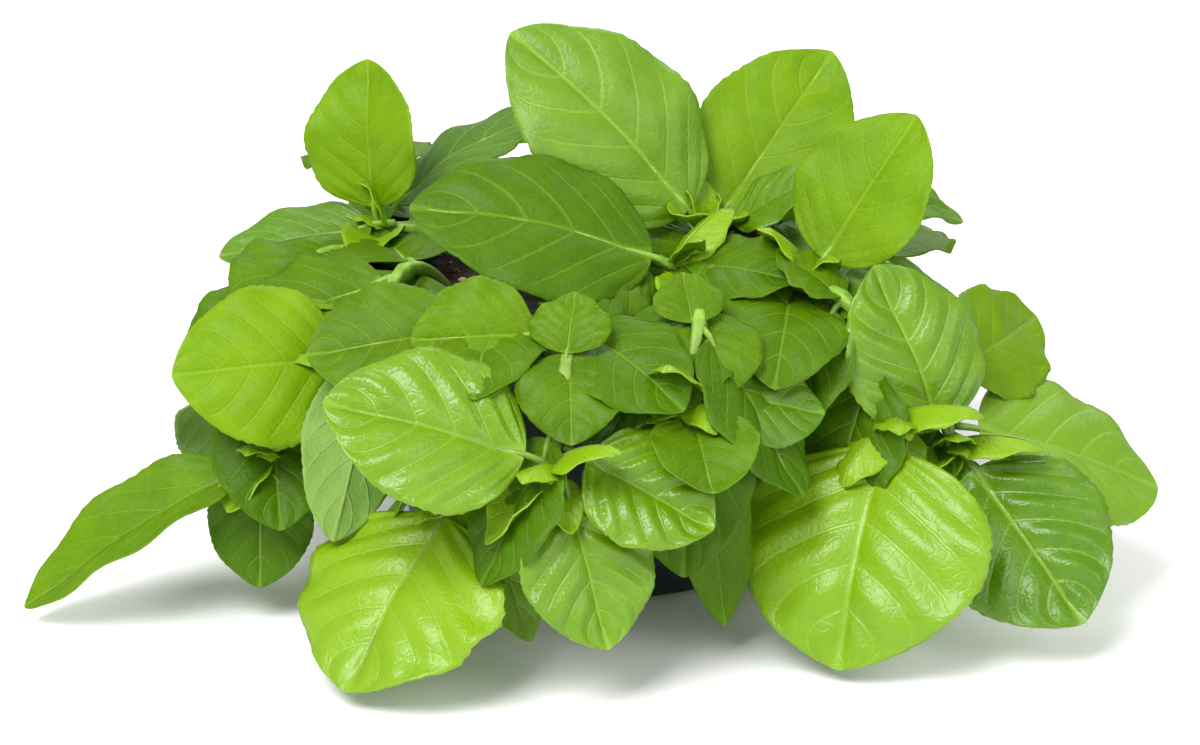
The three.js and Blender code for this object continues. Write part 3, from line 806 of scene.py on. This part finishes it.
SIDE_LEAVES = [
    # shoot, then the leaf's share of the stem, heading, rise, reach, width, bend, curl and roll, its tone
    # (partly painted shade)
    ("top", 0.95, 228, -22, 36, 28, 40, 30, -30, 0.5),
    ("top", 0.80, 110, 30, 40, 30, 40, 30, 0, 0.4),
    ("middle", 0.95, 330, 4, 34, 26, 40, 30, 20, 0.35),
    ("middle", 0.80, 225, -4, 36, 28, 40, 30, -25, 0.3),
    ("front", 0.60, 272, -38, 27, 25, 60, 30, 0, 0.4),
    ("front", 0.50, 318, -20, 36, 28, 50, 30, 20, 0.3),
    ("front", 0.86, 214, -58, 40, 30, 30, 30, 0, 0.2),
    ("low_right", 0.58, 282, -38, 26, 24, 60, 30, 0, 0.45),
    ("low_right", 0.72, 328, -52, 46, 32, 30, 30, 0, 0.15),
    ("low_right", 0.50, 250, -30, 36, 28, 60, 30, -10, 0.25),
    ("low_right", 0.85, 262, -72, 50, 32, 30, 30, 0, 0.1),
    ("low_left", 0.62, 225, -40, 36, 30, 30, 30, -20, 0.4),
    ("right", 0.55, 262, -46, 38, 32, 30, 30, 0, 0.2),
    ("front_right", 0.32, 262, -16, 40, 30, 70, 30, -10, 0.35),
    ("right", 0.90, 200, -60, 46, 32, 30, 30, -10, 0.15),
    ("front_right", 0.75, 225, -70, 44, 32, 30, 30, 0, 0.15),
    ("front", 0.26, 272, -8, 36, 30, 60, 30, 0, 0.3),
    ("low_right", 0.26, 262, -8, 36, 30, 60, 30, 0, 0.3),
    ("right", 0.34, 250, -10, 36, 28, 60, 30, 0, 0.3),
    ("front", 0.70, 80, 50, 19, 19, 40, 30, 0, 0.5),
    ("low_right", 0.78, 104, 46, 17, 17, 40, 30, 0, 0.5),
    ("front_right", 0.60, 150, 30, 23, 20, 40, 30, 0, 0.5),
    ("front_right", 0.55, 215, -50, 40, 30, 30, 30, -10, 0.2),
    ("right_high", 0.80, 250, -20, 32, 26, 30, 30, -10, 0.35),
    ("right_high", 0.75, 60, 10, 38, 28, 30, 30, 0, 0.4),
    ("left_high", 0.80, 225, -24, 36, 28, 30, 30, -25, 0.4),
    ("left_high", 0.75, 80, 5, 36, 28, 30, 30, 0, 0.4),
    ("left", 0.60, 196, -16, 40, 30, 30, 30, -30, 0.45),
    ("left", 0.62, 262, -34, 36, 28, 30, 30, -10, 0.35),
    ("far_left", 0.32, 236, -10, 40, 30, 70, 30, -15, 0.5),
    ("far_left", 0.50, 236, -36, 40, 30, 60, 30, -20, 0.35),
    ("left", 0.32, 244, -18, 38, 30, 70, 30, -10, 0.4),
    ("low_left", 0.34, 262, -10, 40, 30, 70, 30, 0, 0.4),
    ("far_left", 0.80, 280, -50, 38, 30, 30, 30, 0, 0.2),
    ("top", 0.55, 75, -12, 44, 34, 40, 30, 0, 0.4),
    ("middle", 0.60, 105, -6, 44, 34, 40, 30, 0, 0.35),
    ("left_high", 0.50, 100, -16, 44, 34, 40, 30, 0, 0.45),
    ("right_high", 0.50, 70, -16, 44, 34, 40, 30, 0, 0.45),
    ("left", 0.45, 110, -8, 44, 34, 40, 30, 0, 0.4),
    ("right", 0.40, 80, -8, 44, 34, 40, 30, 0, 0.4),
    ("back_left", 0.60, 330, -4, 44, 34, 50, 30, 0, 0.4),
    ("back", 0.70, 245, -2, 44, 34, 50, 30, 0, 0.45),
    ("back", 0.60, 300, -2, 42, 32, 50, 30, 0, 0.4),
    ("back_right", 0.60, 210, -4, 44, 34, 50, 30, 0, 0.4),
    ("back_left", 0.55, 130, -10, 44, 34, 40, 30, 0, 0.45),
    ("back_left", 0.75, 180, -50, 46, 34, 30, 30, 0, 0.35),
    ("back", 0.55, 120, -5, 44, 34, 40, 30, 0, 0.5),
    ("back", 0.60, 60, -10, 44, 34, 40, 30, 0, 0.45),
    ("back", 0.95, 150, -62, 44, 34, 30, 30, 0, 0.3),
    ("back_right", 0.50, 60, -4, 44, 34, 40, 30, 0, 0.5),
    ("back_right", 0.55, 350, -15, 42, 32, 40, 30, 0, 0.4),
    ("back_right", 0.95, 70, -66, 44, 32, 30, 30, 0, 0.3),
]
for shoot in sorted(stems):
    skin = bmesh.new()
    for place, (grower, share, *line, tone) in enumerate(SIDE_LEAVES):
        if grower == shoot:
            reach = line[2]
            # Painted shade: each side leaf's tone is darkened, as it lies in the shade inside the plant.
            add_leaf(skin, posed_blade(stems[shoot], share, *line), SIDE_SEED + place, pucker=0.8, wave=1.1,
                     tone=SIDE_PAINTED_SHADE * tone, gloss=0.5, rows=SIDE_ROWS, columns=SIDE_COLUMNS,
                     stalk_radius=SIDE_STALK * min(1, reach / SIDE_FULL))
    new_piece("side_leaves_" + shoot, skin, SATIN_LEAF, "leaf")

# ---- The young leaves ----
# At each shoot's tip the newest pairs of leaves are still small, upright and folded round the bud.
# They are a fresh yellow green, and each pair is turned round the stem from the one below it.

BUD_SHARE = 0.995  # where they join the stem, as a share of its length
BUD_STALK = 1.2 * MM
BUD_SEED = 7
BUD_SKIN = [leaf_material("young_leaf_skin", rgb(130, 174, 8), rgb(96, 146, 0), rgb(150, 190, 8),
                          rgb(180, 208, 70), shine=0.4)] * 2 + [stem_finish]
BUD_LEAVES = [
    # turn round the stem, lean away from it, reach and width in millimetres
    (0, 62, 22, 14), (180, 58, 20, 13), (90, 40, 15, 10), (270, 42, 14, 9), (45, 20, 9, 6), (225, 22, 8, 5),
]
for number, shoot in enumerate(sorted(stems)):
    stem = stems[shoot]
    chance = random.Random(100 + number)
    along = stem.way(0.98)
    way = (along + Vector((0, -0.35, 0.75))).normalized()
    skin = bmesh.new()
    first_turn = chance.uniform(0, 180)
    for place, (turn, lean, reach, width) in enumerate(BUD_LEAVES):
        side = way.orthogonal().normalized()
        side.rotate(Matrix.Rotation(math.radians(turn + first_turn), 3, way))
        angle = math.radians(lean + chance.uniform(-8, 8))
        chord = way * math.cos(angle) + side * math.sin(angle)
        heading = math.degrees(math.atan2(chord.y, chord.x))
        rise = math.degrees(math.asin(chord.z))
        blade = posed_blade(stem, BUD_SHARE, heading, rise, reach * chance.uniform(0.85, 1.2),
                            width * chance.uniform(0.9, 1.15), bend=40, curl=-70, stalk=BUD_STALK)
        if blade.up(0.4).dot(way) < 0:
            blade = posed_blade(stem, BUD_SHARE, heading, rise, reach, width, bend=-40, curl=-70, roll=180,
                                stalk=BUD_STALK)
        add_leaf(skin, blade, BUD_SEED * number + place, pucker=1.2, wave=1.0, tone=1.05, gloss=0.75,
                 rows=20, columns=14, stalk_radius=0.45 * MM)
    new_piece("young_leaves_" + shoot, skin, BUD_SKIN, "leaf")
